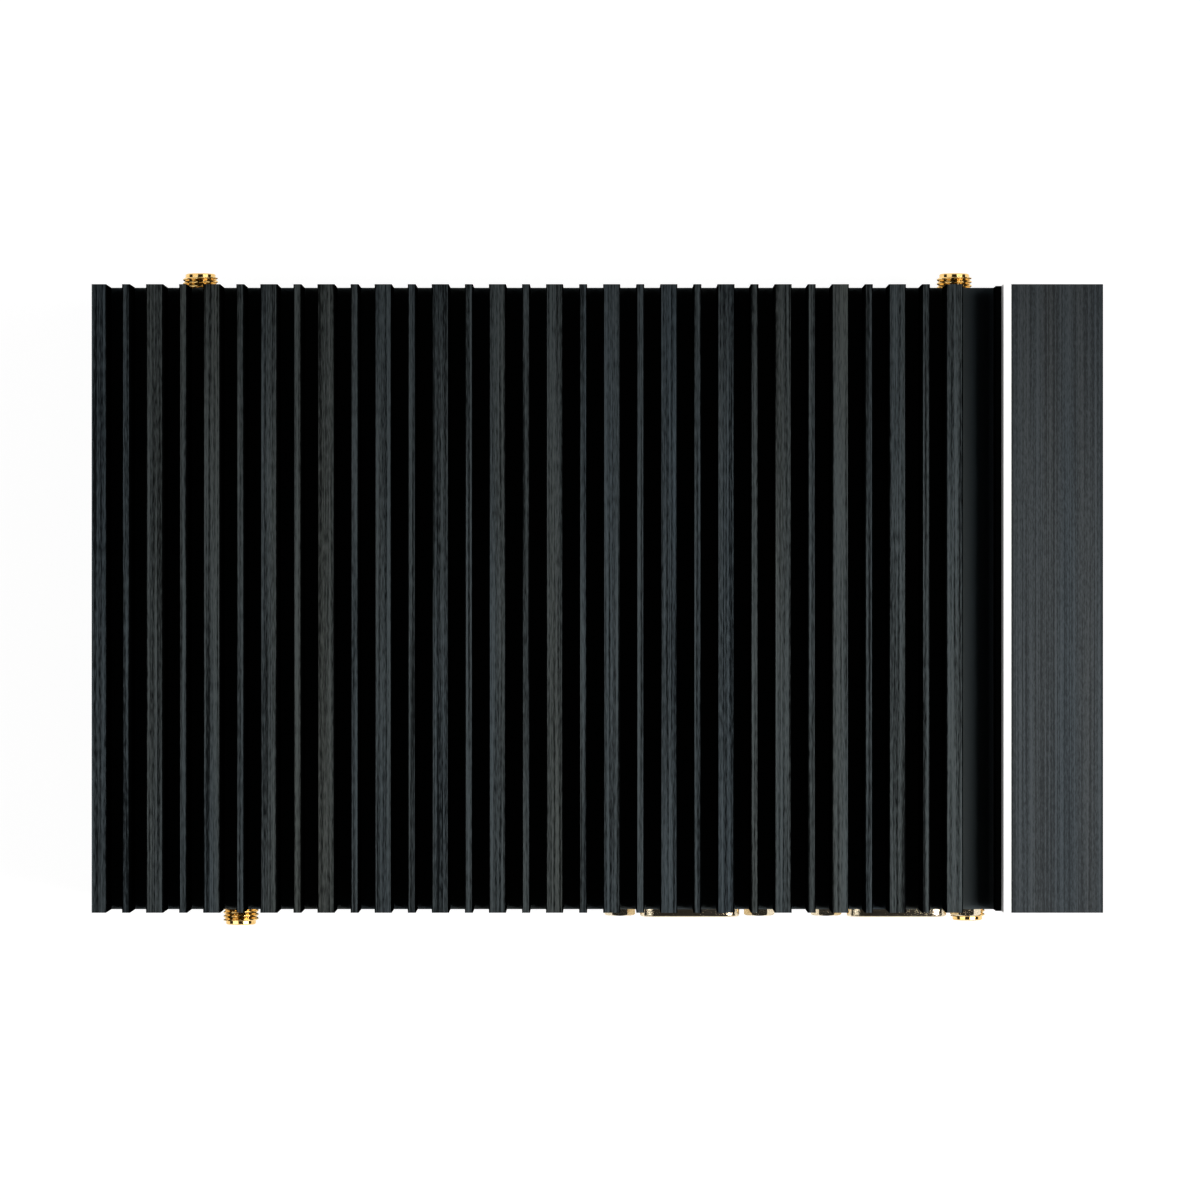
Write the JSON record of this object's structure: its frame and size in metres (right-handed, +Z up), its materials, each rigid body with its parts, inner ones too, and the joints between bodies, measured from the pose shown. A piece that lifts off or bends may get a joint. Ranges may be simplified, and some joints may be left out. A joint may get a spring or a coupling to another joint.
{
  "type": "box pc",
  "caption": "Fanless industrial box computer: finned aluminium heatsink body, hollow front bezel with a pale strip, ports and antenna jacks on both sides.",
  "frame": {"origin": "under the middle of the case, on the plane that the feet stand on", "axes": "+X towards the front bezel, +Y towards the side with the network ports, +Z up through the fins"},
  "size_m": [0.177, 0.1164, 0.046],
  "materials": {
    "black_anodised": "black anodised, brushed along the fins",
    "opal_plastic": "satin",
    "black_sheet": "matte",
    "black_screw": "black oxide, satin",
    "zinc_steel": "satin",
    "nickel": "satin nickel plate",
    "gold_plate": "polished",
    "bare_aluminium": "satin",
    "black_rubber": "matte",
    "white_insulator": "matte",
    "black_plastic": "matte",
    "button_metal": "satin",
    "clear_plastic": "gloss",
    "circuit_board": "satin solder mask",
    "chip_resin": "matte",
    "thermal_gel": "matte",
    "ferrite": "matte"
  },
  "bodies": {
    "case": {"heatsink": "black_anodised", "front_bezel": "black_anodised", "accent_strip": "opal_plastic", "serial_side_panel": "black_sheet", "port_side_panel": "black_sheet", "bottom_cover": "black_sheet", "mount_nuts": "zinc_steel", "rubber_feet": "black_rubber", "panel_screws": "black_screw", "cover_screws": "black_screw", "tongue_screws": "zinc_steel", "antenna_jacks": "gold_plate", "antenna_washers": "gold_plate", "antenna_nuts": "gold_plate", "antenna_insulators": "white_insulator", "antenna_contacts": "gold_plate", "serial_shells": "nickel", "serial_inserts": "black_plastic", "serial_pins": "gold_plate", "jackscrews": "nickel", "network_ports": "nickel", "network_contacts": "gold_plate", "usb_shells": "nickel", "usb_tongues": "black_plastic", "video_ports": "nickel", "video_tongues": "black_plastic", "power_inlet": "black_plastic", "power_inlet_pin": "nickel", "audio_jack": "black_plastic", "front_board": "circuit_board", "front_board_screws": "zinc_steel", "power_switch": "black_plastic", "status_leds": "clear_plastic", "light_pipes": "clear_plastic", "mainboard": "circuit_board", "board_posts": "zinc_steel", "board_screws": "zinc_steel", "processor": "chip_resin", "thermal_pad": "thermal_gel", "heat_block": "bare_aluminium", "heat_block_screws": "zinc_steel", "power_coils": "ferrite", "capacitors": "bare_aluminium", "controller_chips": "chip_resin", "cell_holder": "black_plastic", "coin_cell": "zinc_steel", "memory_socket": "black_plastic", "memory_module": "circuit_board", "card_sockets": "black_plastic", "storage_card": "circuit_board", "wireless_card": "circuit_board", "card_posts": "zinc_steel", "card_screws": "zinc_steel"},
    "power_button": {"power_button": "button_metal", "switch_plunger": "white_insulator"}
  },
  "joints": [
    {"name": "power_button_press", "type": "slide", "parent": "case", "child": "power_button", "axis": [-1, 0, 0], "range_m": [0, 0.0006], "stiffness_N_per_m": 3000}
  ]
}
